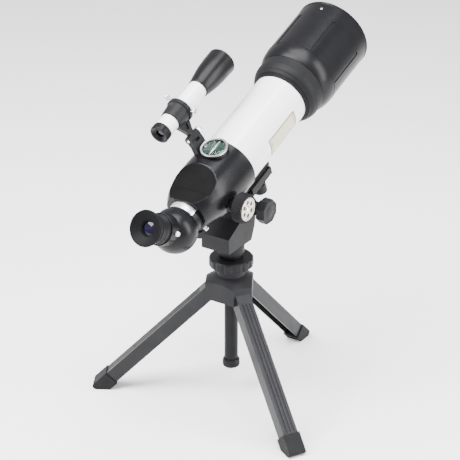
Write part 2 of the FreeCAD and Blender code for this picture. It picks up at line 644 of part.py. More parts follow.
upright("compass_crystal", [(0, 40.6), (13.6, 39.6, 6.9, 40.35), (13.6, 40.6), (0, 42.2, 6.9, 41.8)],
        TUBE.multiply(FreeCAD.Placement(V(CX, CS.v, 0), FreeCAD.Rotation())))

# =================================================================== FINDER
# Frame of the finder: Z runs out from the optical axis through the knuckle.
FO, KO, FR = D["finder_off"], D["knuckle_off"], D["finder_rad"]
FIN = SPOT.multiply(FreeCAD.Placement(V(0, 0, FO.v), FreeCAD.Rotation()))
turned("finder_tube", [(-50, FR - 1.2), (30.5, FR - 1.2), (30.5, FR), (-50, FR)], FIN)
FH = D["finder_hood_rad"]
turned("finder_hood", [
    (24, FR + 0.02), (24, 11.8), (62, 16.95, 42, 15.3), (75.8, FH), (77, FH - 0.5), (77, FH - 1.3),
    (62, 15.6), (37.0, 12.2, 48, 14.5), (37.0, 11.6), (30.6, 11.6), (30.6, FR + 0.02)], FIN)
turned("finder_objective", [(31.2, 0), (31.2, 11.5), (34.0, 11.5), (36.4, 0) + lens(36.4, 34.0, 11.5)], FIN)
turned("finder_eyecell", [
    (-44, 8.2), (-44, FR - 1.25), (-50.1, FR - 1.25), (-50.1, 11.3), (-57.6, 11.45), (-59.2, 10.4, -58.8, 11.1), (-59.2, 8.6), (-56.6, 4.6), (-55.4, 4.6), (-55.4, 8.2)], FIN)
turned("finder_eye_lens", [(-50.5, 0), (-50.5, 8.1), (-53.2, 8.1), (-55.3, 0) + lens(-55.3, -53.2, 8.1)], FIN)

st = new_body("finder_stalk", SPOT)
pad(st, outline(sketch(st, "YZ"), [
    (-33.5, FO - 11.6), (-13, FO - 11.6), (-18.2, KO + 9), (-19.3, KO + 6), (-19.3, KO), (-26.7, KO), (-26.7, KO + 6), (-28, KO + 9)]), 6.4, sym=True)
pad(st, disc(sketch(st, "XZ", 19.2), 0, KO, 5.0), 7.6)
for off, back in ((3.3, False), (-3.3, True)):
    pocket(st, outline(sketch(st, "YZ", off), [
        (-29.0, FO - 14.5), (-20.0, FO - 14.5), (-22.0, KO + 11.0), (-25.0, KO + 11.0)]), 1.9, rev=back)
clamp = new_body("finder_collar", FIN)
revolve(clamp, outline(sketch(clamp, "YZ"), [
    (-35, FR + 0.04), (-35, 12.0), (-34.4, 12.4), (-18.0, 14.3), (-17.4, 15.0), (-17.0, 15.7), (-12.6, 15.7), (-12, 15.1),
    (-12, 13.6), (-20, 13.6), (-21.5, FR + 0.04)]))
SCREWS = (("a", -17.0), ("b", 103.0), ("c", 223.0))


def fdir(x, y, z):
    return tuple(FIN.Rotation.multVec(V(x, y, z)))


def fpt(x, y, z):
    return tuple(FIN.multVec(V(x, y, z)))


holes = []
for nm, ang in SCREWS:
    a = math.radians(ang)
    holes.append(rod(fpt(0, -14.5, 0), fdir(math.cos(a), 0, math.sin(a)), 1.56, 20))
tube_bore = rod(fpt(0, -40, 0), fdir(0, 1, 0), FR + 0.04, 30)
ring_bore = rod(fpt(0, -20, 0), fdir(0, 1, 0), 13.6, 12)
pin_bore = rod(tuple(SPOT.multVec(V(0, -40, KO.v))), fdir(0, 1, 0), 1.86, 40)
keep(cut(fuse([clamp, st]), fuse(holes + [tube_bore, ring_bore, pin_bore])), "finder_bracket")
for nm, ang in SCREWS:
    fs = new_body("finder_screw_" + nm, FIN.multiply(turn((0, 1, 0), 90 - ang, (0, -14.5, 0))))
    pad(fs, disc(sketch(fs, "XY", 11.2), 0, 0, 1.5), 8)
    pad(fs, disc(sketch(fs, "XY", 17.4), 0, 0, 3.1), 5.6)
    keep(fs)

# Foot of the finder: a fork on the knuckle, flaring down onto the housing.
ff = new_body("foot_blank", SPOT)
pad(ff, outline(sketch(ff, "YZ"), [
    (-32.0, KO), (-32.0, 46), (-35.5, 33), (-10.0, 33), (-15.0, 41), (-14.0, 46), (-14.0, KO)]), 8.0, sym=True)
pad(ff, disc(sketch(ff, "XZ", 14.0), 0, KO, 5.0), 18.0)
pocket(ff, outline(sketch(ff, "YZ"), [(-27.0, KO - 6.5), (-19.0, KO - 6.5), (-19.0, 70), (-27.0, 70)]), 30, sym=True)
pocket(ff, disc(sketch(ff, "XZ", 10), 0, KO, 1.83), 40, rev=True)
around_compass = rod(tuple(tv(CS.v, 30, CX)), tuple(up), CRAD + 0.3, 30)
keep(cut(cut(ff, solid_house), around_compass), "finder_foot")
hs = new_body("finder_hinge_screw", SPOT)
pad(hs, disc(sketch(hs, "XZ", 12.0), 0, KO, 1.8), 20.5)
pad(hs, disc(sketch(hs, "XZ", 8.6), 0, KO, 4.6), 5.0)
keep(hs)

# ============================================================ CHECK AND SAVE
doc.recompute()
bad = []
for o in doc.Objects:
    if "Invalid" in o.State or "Error" in o.State:
        bad.append("%s %s" % (o.Label, o.getStatusString()))
out = []
for label, o in PARTS:
    shp = o.Shape.copy()
    if shp.isNull() or not shp.isValid() or not shp.Solids:
        bad.append("shape " + o.Label)
        continue
    out.append((o.Label, o, shp))
if bad:
    raise RuntimeError("; ".join(bad))
box = FreeCAD.BoundBox()
for label, o, shp in out:
    bb = shp.optimalBoundingBox()
    box.add(bb)
    print("%-22s solids %d vol %9.1f  x %.1f %.1f y %.1f %.1f z %.1f %.1f" % (
        label, len(shp.Solids), shp.Volume, bb.XMin, bb.XMax, bb.YMin, bb.YMax, bb.ZMin, bb.ZMax))
    shp.exportStep("parts/%s.step" % label)
print("pieces", len(out), "box", box)
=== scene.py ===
import json
import math

import bpy
from mathutils import Matrix, Vector


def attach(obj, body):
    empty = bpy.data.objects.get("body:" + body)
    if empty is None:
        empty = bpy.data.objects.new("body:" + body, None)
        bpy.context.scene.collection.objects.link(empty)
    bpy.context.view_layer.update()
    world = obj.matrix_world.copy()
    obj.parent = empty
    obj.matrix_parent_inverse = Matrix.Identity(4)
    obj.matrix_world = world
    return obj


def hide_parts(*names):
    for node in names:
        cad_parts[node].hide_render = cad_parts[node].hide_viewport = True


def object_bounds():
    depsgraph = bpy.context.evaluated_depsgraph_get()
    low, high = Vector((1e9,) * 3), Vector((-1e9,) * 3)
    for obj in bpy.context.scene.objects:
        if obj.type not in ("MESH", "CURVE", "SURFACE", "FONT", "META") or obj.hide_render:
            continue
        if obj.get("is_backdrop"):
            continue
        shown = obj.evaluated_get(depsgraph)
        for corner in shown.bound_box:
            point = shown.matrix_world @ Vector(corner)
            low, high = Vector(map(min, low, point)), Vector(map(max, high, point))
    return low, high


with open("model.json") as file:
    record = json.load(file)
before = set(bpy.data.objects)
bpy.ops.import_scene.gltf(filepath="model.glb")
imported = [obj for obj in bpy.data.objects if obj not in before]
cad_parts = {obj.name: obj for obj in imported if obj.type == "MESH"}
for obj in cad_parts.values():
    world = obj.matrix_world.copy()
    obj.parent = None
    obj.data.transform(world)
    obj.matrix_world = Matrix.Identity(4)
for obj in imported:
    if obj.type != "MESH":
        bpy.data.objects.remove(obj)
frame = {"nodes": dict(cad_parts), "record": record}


def plain(b):
    """The bounds as plain nested lists of numbers."""
    if isinstance(b, dict):
        return {k: plain(v) for k, v in b.items()}
    if hasattr(b, "__len__") and not isinstance(b, str):
        return [plain(v) for v in list(b)]
    return float(b) if not isinstance(b, str) else b


size_at_load = plain(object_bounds())

MM = 0.001
NODES = frame["nodes"]

# --------------------------------------------------------------------- frames
AY, TZ, ALT = -32.99, 303.6, math.radians(21.05)
STAND = Matrix.Translation(Vector((0, AY, 0)) * MM)
TUBE = Matrix.Translation(Vector((0, AY, TZ)) * MM) @ Matrix.Rotation(ALT, 4, "X")
BALL = -121.5
EYE = TUBE @ Matrix.Translation(Vector((0, BALL, 0)) * MM) @ Matrix.Rotation(math.radians(135), 4, "X")
SPOT = TUBE @ Matrix.Rotation(math.radians(-29), 4, "Y")
FIN = SPOT @ Matrix.Translation(Vector((0, 0, 86.7)) * MM)
PIVOT = Vector((0, -19.58, 244.26))
HEAD = Matrix.Translation(PIVOT * MM)
AZ = (("right", -30.0), ("front", 90.0), ("left", 210.0))


def leg_frame(az):
    return (STAND @ Matrix.Rotation(math.radians(az), 4, "Z")
            @ Matrix.Translation(Vector((22.0, 0, 139.5)) * MM) @ Matrix.Rotation(math.radians(45), 4, "Y"))


def move(x=0, y=0, z=0):
    return Matrix.Translation(Vector((x, y, z)) * MM)


# ------------------------------------------------------------------ materials
def material(name, color, rough, metal=0.0, *, grain=900.0, bump=0.15, vary=0.12, rvary=0.08,
             coat=0.0, coat_rough=0.1, depth=0.0002, streak=None, spec=0.5, trans=0.0, ior=1.45, sheen=0.0, cloud=60.0):
    """A procedural finish: slow clouds in the color, and a fine grain in the roughness and the surface."""
    m = bpy.data.materials.new(name)
    m.use_nodes = True
    nt = m.node_tree
    N, L = nt.nodes, nt.links
    p = N["Principled BSDF"]
    tc = N.new("ShaderNodeTexCoord")
    mp = N.new("ShaderNodeMapping")
    if streak:
        mp.inputs["Scale"].default_value = streak
    L.new(tc.outputs["Object"], mp.inputs["Vector"])
    slow = N.new("ShaderNodeTexNoise")
    slow.inputs["Scale"].default_value = cloud
    slow.inputs["Detail"].default_value = 4.0
    L.new(tc.outputs["Object"], slow.inputs["Vector"])
    fine = N.new("ShaderNodeTexNoise")
    fine.inputs["Scale"].default_value = grain
    fine.inputs["Detail"].default_value = 3.0
    L.new(mp.outputs["Vector"], fine.inputs["Vector"])
    ramp = N.new("ShaderNodeValToRGB")
    ramp.color_ramp.elements[0].position = 0.3
    ramp.color_ramp.elements[1].position = 0.7
    ramp.color_ramp.elements[0].color = tuple(c * (1 - vary) for c in color[:3]) + (1,)
    ramp.color_ramp.elements[1].color = tuple(min(1.0, c * (1 + vary)) for c in color[:3]) + (1,)
    L.new(slow.outputs["Fac"], ramp.inputs["Fac"])
    L.new(ramp.outputs["Color"], p.inputs["Base Color"])
    rr = N.new("ShaderNodeMapRange")
    rr.inputs["To Min"].default_value = max(0.02, rough - rvary)
    rr.inputs["To Max"].default_value = min(1.0, rough + rvary)
    L.new(fine.outputs["Fac"], rr.inputs["Value"])
    L.new(rr.outputs["Result"], p.inputs["Roughness"])
    bp = N.new("ShaderNodeBump")
    bp.inputs["Strength"].default_value = bump
    bp.inputs["Distance"].default_value = depth
    L.new(fine.outputs["Fac"], bp.inputs["Height"])
    L.new(bp.outputs["Normal"], p.inputs["Normal"])
    p.inputs["Metallic"].default_value = metal
    p.inputs["Coat Weight"].default_value = coat
    p.inputs["Coat Roughness"].default_value = coat_rough
    p.inputs["Specular IOR Level"].default_value = spec
    p.inputs["Transmission Weight"].default_value = trans
    p.inputs["IOR"].default_value = ior
    p.inputs["Sheen Weight"].default_value = sheen
    return m


M = {
    "hub": material("hub_casting", (0.016, 0.016, 0.018), 0.46, grain=1500, bump=0.35, spec=0.12),
    "leg": material("leg_anodised", (0.02, 0.02, 0.022), 0.36, 0.5, spec=0.2, grain=500, streak=(1, 1, 0.12), bump=0.12, vary=0.1),
    "rubber": material("foot_rubber", (0.008, 0.008, 0.009), 0.62, grain=1800, bump=0.4, spec=0.16),
    "column": material("column_satin", (0.007, 0.007, 0.008), 0.36, grain=1200, bump=0.12, spec=0.12),
    "knob": material("knob_plastic", (0.010, 0.010, 0.011), 0.42, grain=1700, bump=0.3, spec=0.12),
    "head": material("head_plastic", (0.013, 0.013, 0.014), 0.44, grain=1900, bump=0.45, spec=0.12),
    "steel": material("turned_steel", (0.55, 0.55, 0.56), 0.24, 1.0, grain=1500, bump=0.08, vary=0.06),
    "chrome": material("bright_screw", (0.78, 0.78, 0.79), 0.12, 1.0, grain=1500, bump=0.05, vary=0.04, rvary=0.04),
    "white": material("tube_gloss_white", (0.84, 0.85, 0.87), 0.22, grain=700, bump=0.04, vary=0.02, rvary=0.04, coat=0.6, coat_rough=0.06),
    "shield": material("shield_satin", (0.005, 0.005, 0.006), 0.30, grain=1500, bump=0.10, vary=0.15, rvary=0.05, spec=0.16),
    "cell": material("cell_texture", (0.008, 0.008, 0.009), 0.50, grain=2400, bump=0.5, rvary=0.06, spec=0.12),
    "housing": material("housing_satin", (0.005, 0.005, 0.006), 0.26, grain=1300, bump=0.10, vary=0.12, spec=0.16),
    # the scoop's faces: rougher than the housing, and darker with weaker reflection as painted shade for the recess
    "scoop": material("scoop_matte_painted_shade", (0.003, 0.003, 0.0032), 0.7, grain=2000, bump=0.1, vary=0.15, spec=0.06),
    "draw": material("draw_satin", (0.007, 0.007, 0.008), 0.30, grain=1200, bump=0.08, spec=0.12),
    "brass": material("brass", (0.62, 0.44, 0.2), 0.3, 1.0, grain=1000, bump=0.08),
    "grip": material("grip_rubber", (0.007, 0.007, 0.008), 0.55, grain=1900, bump=0.3, spec=0.08),
    "face": material("wheel_champagne", (0.62, 0.59, 0.53), 0.30, 0.85, grain=1600, bump=0.10, vary=0.05),
    "elbow": material("elbow_satin", (0.005, 0.005, 0.006), 0.28, grain=1400, bump=0.10, spec=0.16),
    "eyepiece": material("eyepiece_black", (0.007, 0.007, 0.008), 0.34, 0.2, grain=1300, bump=0.08, spec=0.16),
    "cup": material("cup_rubber", (0.006, 0.006, 0.007), 0.58, grain=2000, bump=0.35, spec=0.08),
    "dial": material("dial_green", (0.003, 0.022, 0.013), 0.25, grain=1500, bump=0.05, vary=0.85, cloud=55),
    "bezel": material("bezel_silver", (0.74, 0.74, 0.75), 0.2, 1.0, grain=1500, bump=0.05, vary=0.04),
    "mark": material("mark_white", (0.85, 0.86, 0.84), 0.4, grain=1500, bump=0.04, vary=0.03),
    "label": material("label_beige", (0.60, 0.54, 0.42), 0.4, grain=1500, bump=0.06, vary=0.05),
    "line": material("label_line", (0.17, 0.145, 0.12), 0.45, grain=1500, bump=0.05, vary=0.08),
    "foil": material("foil_silver", (0.72, 0.73, 0.75), 0.3, 0.7, grain=1500, bump=0.08, vary=0.05),
    "baffle": material("baffle_black", (0.008, 0.008, 0.008), 0.8, grain=1500, bump=0.2),
    "coated": material("lens_coated", (0.5, 0.6, 0.85), 0.04, grain=500, bump=0.0, vary=0.1, rvary=0.015, trans=0.85, ior=1.5, coat=1.0, coat_rough=0.02),
    "violet": material("lens_violet", (0.004, 0.003, 0.013), 0.08, grain=500, bump=0.0, vary=0.8, rvary=0.02, spec=0.25, coat=0.15, coat_rough=0.03, cloud=260),
    "clear": material("crystal_clear", (0.95, 0.97, 0.97), 0.03, grain=500, bump=0.0, vary=0.01, rvary=0.01, trans=1.0, ior=1.2),
}

BY_SLOT = {
    "hub_casting": "hub", "leg_aluminium": "leg", "foot_rubber": "rubber", "column_paint": "column", "knob_plastic": "knob",
    "head_plastic": "head", "steel": "steel", "bright_screw": "chrome", "tube_white": "white", "shield_plastic": "shield",
    "cell_plastic": "cell", "lens_glass": "coated", "baffle_black": "baffle", "housing_plastic": "housing", "draw_metal": "draw",
    "gear_brass": "brass", "grip_rubber": "grip", "wheel_face": "face", "elbow_plastic": "elbow", "eyepiece_metal": "eyepiece",
    "cup_rubber": "cup", "dial_green": "dial", "needle_paint": "foil", "bezel_silver": "bezel", "crystal": "clear",
}
SLOT_OF = {s["node"]: s["material_slot"] for s in frame["record"]["subparts"]}
for name, o in NODES.items():
    key = BY_SLOT[SLOT_OF[name]]
    if name in ("eyepiece_eye_lens", "finder_eye_lens"):
        key = "violet"
    o.data.materials.clear()
    o.data.materials.append(M[key])

BODY_OF = {n: b for b, ns in frame["record"]["behaviour"]["bodies"].items() for n in ns}


# ------------------------------------------------------------ piece builders
def piece(name, verts, faces, place, mat, body, slot, smooth=True, flat_angle=35.0):
    """A mesh in millimetres in its own frame, put in the row frame and fixed to a body."""
    me = bpy.data.meshes.new(name)
    me.from_pydata([tuple(place @ (Vector(v) * MM)) for v in verts], [], faces)
    me.update()
    me.validate()
    o = bpy.data.objects.new(name, me)
    bpy.context.scene.collection.objects.link(o)
    import bmesh
    bm = bmesh.new()
    bm.from_mesh(me)
    bmesh.ops.recalc_face_normals(bm, faces=bm.faces)
    bm.to_mesh(me)
    bm.free()
    if smooth:
        for p in me.polygons:
            p.use_smooth = True
        me.set_sharp_from_angle(angle=math.radians(flat_angle))
    me.materials.append(M[mat])
    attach(o, body)
    return o


def spun(profile, n=96, wave=None):
    """Rings of (along Z, radius) about Z. wave(i, angle, radius) may change a ring's radius."""
    vs, fs = [], []
    for i, (z, r) in enumerate(profile):
        for k in range(n):
            a = 2 * math.pi * k / n
            q = wave(i, a, r) if wave else r
            vs.append((q * math.cos(a), q * math.sin(a), z))
    for i in range(len(profile) - 1):
        for k in range(n):
            k2 = (k + 1) % n
            fs.append((i * n + k, i * n + k2, (i + 1) * n + k2, (i + 1) * n + k))
    return vs, fs, n


def turned(name, profile, place, mat, body, slot, n=96, wave=None, closed=False, **kw):
    """A turned solid: capped at both ends, or joined last to first if it is a ring."""
    vs, fs, n = spun(profile, n, wave)
    last = (len(profile) - 1) * n
    if closed:
        for k in range(n):
            k2 = (k + 1) % n
            fs.append((last + k, last + k2, k2, k))
    else:
        fs.append(tuple(range(n))[::-1])
        fs.append(tuple(last + k for k in range(n)))
    return piece(name, vs, fs, place, mat, body, slot, **kw)


def join(parts):
    vs, fs = [], []
    for v, f in parts:
        b = len(vs)
        vs += v
        fs += [tuple(b + i for i in q) for q in f]
    return vs, fs


def block(cx, cy, cz, lx, ly, lz, c=0.0, m=None):
    """A box with its upper edges taken off by c."""
    x, y, z = lx / 2, ly / 2, lz / 2
    v = [(-x, -y, -z), (x, -y, -z), (x, y, -z), (-x, y, -z), (-x, -y, z - c), (x, -y, z - c), (x, y, z - c), (-x, y, z - c)]
    f = [(0, 3, 2, 1), (0, 1, 5, 4), (1, 2, 6, 5), (2, 3, 7, 6), (3, 0, 4, 7)]
    if c:
        v += [(-x + c, -y + c, z), (x - c, -y + c, z), (x - c, y - c, z), (-x + c, y - c, z)]
        f += [(4, 5, 9, 8), (5, 6, 10, 9), (6, 7, 11, 10), (7, 4, 8, 11), (8, 9, 10, 11)]
    else:
        f += [(4, 5, 6, 7)]
    v = [(p[0] + cx, p[1] + cy, p[2] + cz) for p in v]
    if m is not None:
        v = [tuple(m @ Vector(p)) for p in v]
    return v, f


def wrapped(name, s0, s1, a0, a1, r, t, place, mat, body, slot, seg=24):
    """A thin sheet wrapped on a tube along the local Y axis. Angles from +X towards +Z, in degrees."""
    vs, fs = [], []
    for k in range(seg + 1):
        a = math.radians(a0 + (a1 - a0) * k / seg)
        c, s = math.cos(a), math.sin(a)
        for q, y in ((r, s0), (r + t, s0), (r + t, s1), (r, s1)):
            vs.append((q * c, y, q * s))
    for k in range(seg):
        b, d = 4 * k, 4 * k + 4
        for i in range(4):
            j = (i + 1) % 4
            fs.append((b + i, d + i, d + j, b + j))
    fs.append((0, 1, 2, 3))
    fs.append((4 * seg + 3, 4 * seg + 2, 4 * seg + 1, 4 * seg))
    return piece(name, vs, fs, place, mat, body, slot)


def knurl(count, depth, rings):
    """Ribs along a turned grip: the rings named are cut down between ribs."""
    def f(i, a, r):
        if i not in rings:
            return r
        w = 0.5 + 0.5 * math.cos(a * count)
        return r - depth * (1 - w ** 0.6)
    return f


def screw_head(name, place, r, h, body, slot, mat="chrome", cross=True, dome=0.25):
    """A pan head, its foot at the frame's origin and its top towards +Z; the cross recess is not cut but drawn as a
    thin dark cross on the top, painted shade.
    """
    turned(name, [(0, r), (h * 0.55, r), (h * 0.82, r * 0.9), (h, r * 0.62), (h * (1 + dome * 0.2), r * 0.3)], place, mat, body, slot, n=48)
    if cross:
        # the recess is painted shade: a flat dark cross laid on top of the head
        vs, fs = join([block(0, 0, h * 1.06, r * 1.0, r * 0.22, 0.1), block(0, 0, h * 1.06, r * 0.22, r * 1.0, 0.1)])
        piece(name + "_cross_painted_shade", vs, fs, place, "baffle", body, slot, smooth=False)


# ---------------------------------------------------------------- the tripod
for name, az in AZ:
    fr = leg_frame(az)
    # raised cross hatching along the three channels of the leg's back
    ribs = []
    for y in (-4.4, 0.0, 4.4):
        x = 16.0
        while x < 172.0:
            ribs.append(block(x, y, 7.95, 0.9, 2.2, 0.42, 0.1))
            x += 2.1
    vs, fs = join(ribs)
    piece("leg_hatch_" + name, vs, fs, fr, "column", "leg_" + name, "leg_aluminium", smooth=False)
    # domed caps on the hinge pin
    for side in (-1, 1):
        cap = (STAND @ Matrix.Rotation(math.radians(az), 4, "Z") @ move(22.0, 12.0 * side, 139.5)
               @ Matrix.Rotation(math.radians(-90 * side), 4, "X"))
        screw_head("hinge_cap_%s_%s" % (name, "ab"[side > 0]), cap, 3.4, 0.9, "tripod", "steel", mat="steel")

# three recessed lines round the column cap's grip
for i, z in enumerate((37.0, 39.2, 41.4)):
    turned("cap_ring_%d" % i, [(z - 0.35, 10.12), (z, 10.45), (z + 0.35, 10.12), (z + 0.3, 9.9), (z - 0.3, 9.9)], STAND, "knob", "column", "knob_plastic", closed=True)

# ------------------------------------------------------------------ the head
turned("neck_bead", [(196.2, 15.55), (196.6, 16.0), (197.4, 16.0), (197.8, 15.55), (197.4, 15.3), (196.6, 15.3)], STAND, "head", "pan_head", "head_plastic", closed=True)
# a washer and a joint line on each cheek of the bracket
for side in (-1, 1):
    cheek = HEAD @ Matrix.Rotation(math.radians(90 * side), 4, "Y") @ move(0, 0, 19.0)
    turned("pivot_washer_%s" % "lr"[side > 0], [(0, 8.6), (0.5, 8.6), (0.7, 8.3), (0.7, 6.2), (0.25, 5.9), (0, 5.9)], cheek, "steel", "pan_head", "steel", closed=True, n=64)
vs, fs = join([block(19.02 * side, 2.5, 210.0, 0.12, 1.0, 12.0) for side in (-1, 1)])
piece("bracket_seam", vs, fs, STAND, "baffle", "pan_head", "head_plastic", smooth=False)

# plain eight-sided knob with a dished face and two small dark dots
KX = HEAD @ Matrix.Rotation(math.radians(90), 4, "Y")


def eight(i, a, r):
    if r < 9:
        return r
    q = math.pi / 8
    return r * math.cos(q) / math.cos(((a + q) % (2 * q)) - q)


knob = turned("altitude_octagon", [
    (19.5, 8.1), (32.8, 8.1), (33.5, 9.2), (33.6, 14.4), (34.4, 15.2), (44.0, 15.2), (44.9, 14.4), (44.95, 12.8), (44.6, 12.4), (44.6, 5.0), (44.8, 4.6), (44.8, 2.8)],
    KX, "knob", "altitude_knob", "knob_plastic", n=160, wave=eight)
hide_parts("altitude_knob")
dots = []
for x in (-8.2, 8.2):
    v, f, _ = spun([(44.5, 1.0), (44.78, 0.9), (44.8, 0.5)], 16)
    f.append(tuple(32 + q for q in range(16)))
    dots.append(([(p[0], p[1] + x, p[2]) for p in v], f))
vs, fs = join(dots)
piece("altitude_knob_dots", vs, fs, KX, "baffle", "altitude_knob", "knob_plastic")
screw_head("altitude_bolt_end", KX @ move(0, 0, -24.0) @ Matrix.Rotation(math.radians(180), 4, "X"), 5.4, 0.8, "pan_head", "steel", mat="steel")

# ------------------------------------------------------------------ the tube
wrapped("tube_label", 33, 90, -22, 16, 34.03, 0.06, TUBE, "label", "telescope", "tube_white")
for i, (s0, s1, a0, a1) in enumerate(((33.0, 35.0, -22, 16), (88.0, 90.0, -22, 16), (33, 90, 13.4, 16), (33, 90, -22, -19.4), (37.0, 37.8, -17.6, 11.6), (85.2, 86.0, -17.6, 11.6))):
    wrapped("label_line_%d" % i, s0, s1, a0, a1, 34.08, 0.05, TUBE, "line", "telescope", "tube_white")

# fine rings where the collar meets the tube, and on the shield's rear edge
for i, s in enumerate((113.6, 114.9, 116.2)):
    prof = [(s - 0.3, 0.0), (s, 0.28), (s + 0.3, 0.0), (s, -0.3)]
    base = 36.3 + (s - 113.0) * 0.42
    turned("cell_ring_%d" % i, [(-q[0], base + (q[0] - s) * 0.42 + q[1]) for q in prof], TUBE @ Matrix.Rotation(math.radians(90), 4, "X"),
           "cell", "telescope", "cell_plastic", closed=True, n=120)
screw_head("shield_screw", TUBE @ move(0, 229.5, 47.35), 1.7, 0.5, "dew_shield", "bright_screw", mat="steel")
turned("shield_bead", [(-159.2, 47.35), (-159.6, 47.75), (-160.4, 47.75), (-160.8, 47.35), (-160.0, 47.0)],
       TUBE @ Matrix.Rotation(math.radians(90), 4, "X"), "shield", "dew_shield", "shield_plastic", closed=True, n=144)

# --------------------------------------------------------------- the focuser
WX = TUBE @ move(0, -57.0, -8.75) @ Matrix.Rotation(math.radians(90), 4, "Y")
rim = turned("focus_grip", [
    (42.65, 13.5), (42.65, 16.3), (43.2, 16.9), (43.7, 16.95), (53.6, 16.95), (54.1, 16.9), (54.75, 16.2), (54.75, 13.5)],
    WX, "grip", "focus_wheel", "grip_rubber", n=288, wave=knurl(48, 0.55, (3, 4)), closed=True)
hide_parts("focus_wheel_rim")
turned("focus_hub", [(55.0, 3.6), (55.9, 3.6), (56.2, 3.2), (56.35, 1.6)], WX, "chrome", "focus_wheel", "wheel_face", n=48)
turned("focus_face_bead", [(55.58, 13.0), (55.74, 12.6), (55.58, 12.2), (55.3, 12.6)], WX, "face", "focus_wheel", "wheel_face", n=120, closed=True)
wrapped("draw_sticker", -105.4, -97.2, 39, 127, 21.02, 0.05, TUBE, "foil", "drawtube", "draw_metal")

# the housing's outer look: a copy of its form with the scoop taken out of the top rear; the scoop's cut faces get a
# rougher material whose darker colour is painted shade
def scooped():
    src = NODES["focuser_housing"]
    me = src.data.copy()
    o = bpy.data.objects.new("housing_scooped", me)
    bpy.context.scene.collection.objects.link(o)
    line = [(-49.5, 45.0), (-49.5, 41.0)]
    p0, p1, p2 = (-49.5, 41.0), (-60.6, 29.4), (-78.0, 23.9)
    for i in range(1, 17):
        u = i / 16
        line.append(tuple((1 - u) * (1 - 2 * u) * p0[j] + 4 * u * (1 - u) * p1[j] + u * (2 * u - 1) * p2[j] for j in (0, 1)))
    line += [(-112.0, 23.3), (-112.0, 45.0)]
    n = len(line)
    vs = [(x, y, z) for x in (-50.0, 50.0) for y, z in line]
    fs = [tuple(range(n)), tuple(range(2 * n - 1, n - 1, -1))] + [(i, i + n, (i + 1) % n + n, (i + 1) % n) for i in range(n)]
    cm = bpy.data.meshes.new("scoop_form")
    cm.from_pydata([tuple(TUBE @ (Vector(q) * MM)) for q in vs], [], fs)
    import bmesh
    bm = bmesh.new()
    bm.from_mesh(cm)
    bmesh.ops.recalc_face_normals(bm, faces=bm.faces)
    bm.to_mesh(cm)
    bm.free()
    c = bpy.data.objects.new("scoop_form", cm)
    bpy.context.scene.collection.objects.link(c)
    bm = bmesh.new()
    bm.from_mesh(me)
    bmesh.ops.remove_doubles(bm, verts=bm.verts, dist=1e-7)
    bm.to_mesh(me)
    bm.free()
    mod = o.modifiers.new("scoop", "BOOLEAN")
    mod.operation = "DIFFERENCE"
    mod.solver = "EXACT"
    mod.object = c
    dg = bpy.context.evaluated_depsgraph_get()
    out = bpy.data.meshes.new_from_object(o.evaluated_get(dg))
    o.modifiers.clear()
    o.data = out
    bpy.data.objects.remove(c)
    for p in out.polygons:
        p.use_smooth = True
    out.set_sharp_from_angle(angle=math.radians(30))
    out.materials.clear()
    out.materials.append(M["housing"])
    out.materials.append(M["scoop"])
    # faces lying on the scoop's cut take the second material: painted shade, darker than the housing
    back = TUBE.inverted()
    for p in out.polygons:
        q = back @ p.center / MM
        for (s0, v0), (s1, v1) in zip(line[1:-2], line[2:-1]):
            d = Vector((s1 - s0, v1 - v0))
            w = Vector((q[1] - s0, q[2] - v0))
            u = w.dot(d) / d.length_squared
            if -0.05 <= u <= 1.05 and (w - d * u).length < 0.06:
                p.material_index = 1
                break
    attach(o, "telescope")
    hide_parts("focuser_housing")


scooped()

LK = TUBE @ move(0, -84.5, 0) @ Matrix.Rotation(math.radians(180), 4, "Y")
lock = turned("focus_lock_grip", [(21.5, 1.5), (33.3, 1.5), (33.5, 4.6), (34.0, 5.3), (42.6, 5.3), (43.3, 4.7), (43.35, 3.6)], LK, "knob", "focus_lock_knob", "knob_plastic",
              n=96, wave=knurl(16, 0.45, (3, 4)))
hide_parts("focus_lock_knob")


def thumbscrew(node, place, body, shank, head, r, r_shank, count=24):
    """A knurled thumbscrew: shank from the first height, head between the next two."""
    (z0, z1), (z2, z3) = shank, head
    o = turned(node + "_knurled", [
        (z0, r_shank * 0.7), (z0 + 0.4, r_shank * 0.97), (z1, r_shank * 0.97), (z2, r * 0.85), (z2 + 0.35, r * 0.98), (z3 - 0.5, r * 0.98), (z3 - 0.05, r * 0.84), (z3 - 0.05, r * 0.5), (z3 - 0.35, r * 0.42)],
        place, "chrome", body, "bright_screw", n=120, wave=knurl(count, 0.28, (4, 5)))
    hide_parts(node)
    return o


for nm, ang in (("a", -17.0), ("b", 103.0), ("c", 223.0)):
    at = FIN @ move(0, -14.5, 0) @ Matrix.Rotation(math.radians(90 - ang), 4, "Y")
    thumbscrew("finder_screw_" + nm, at, "finder_screw_" + nm, (11.2, 17.3), (17.4, 23.0), 3.1, 1.5)
thumbscrew("tension_screw", TUBE @ move(0, -91.5, 0) @ Matrix.Rotation(math.radians(135), 4, "Y"), "tension_screw", (21.3, 25.5), (25.6, 28.2), 2.6, 1.5, 16)
thumbscrew("port_setscrew", EYE @ move(0, 26.5, 0) @ Matrix.Rotation(math.radians(90), 4, "Y"), "port_setscrew", (16.1, 18.2), (18.3, 22.5), 2.8, 1.5, 18)
HX = SPOT @ move(0, 0, 54.5) @ Matrix.Rotation(math.radians(90), 4, "X")
hinge = turned("finder_hinge_turned", [(32.4, 1.6), (32.0, 1.75), (13.7, 1.75), (13.6, 4.2), (13.1, 4.5), (9.2, 4.5), (8.65, 4.0), (8.65, 2.2), (9.0, 1.9)],
               HX, "chrome", "finder_hinge_screw", "bright_screw", n=96, wave=knurl(20, 0.3, (4, 5)))
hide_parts("finder_hinge_screw")

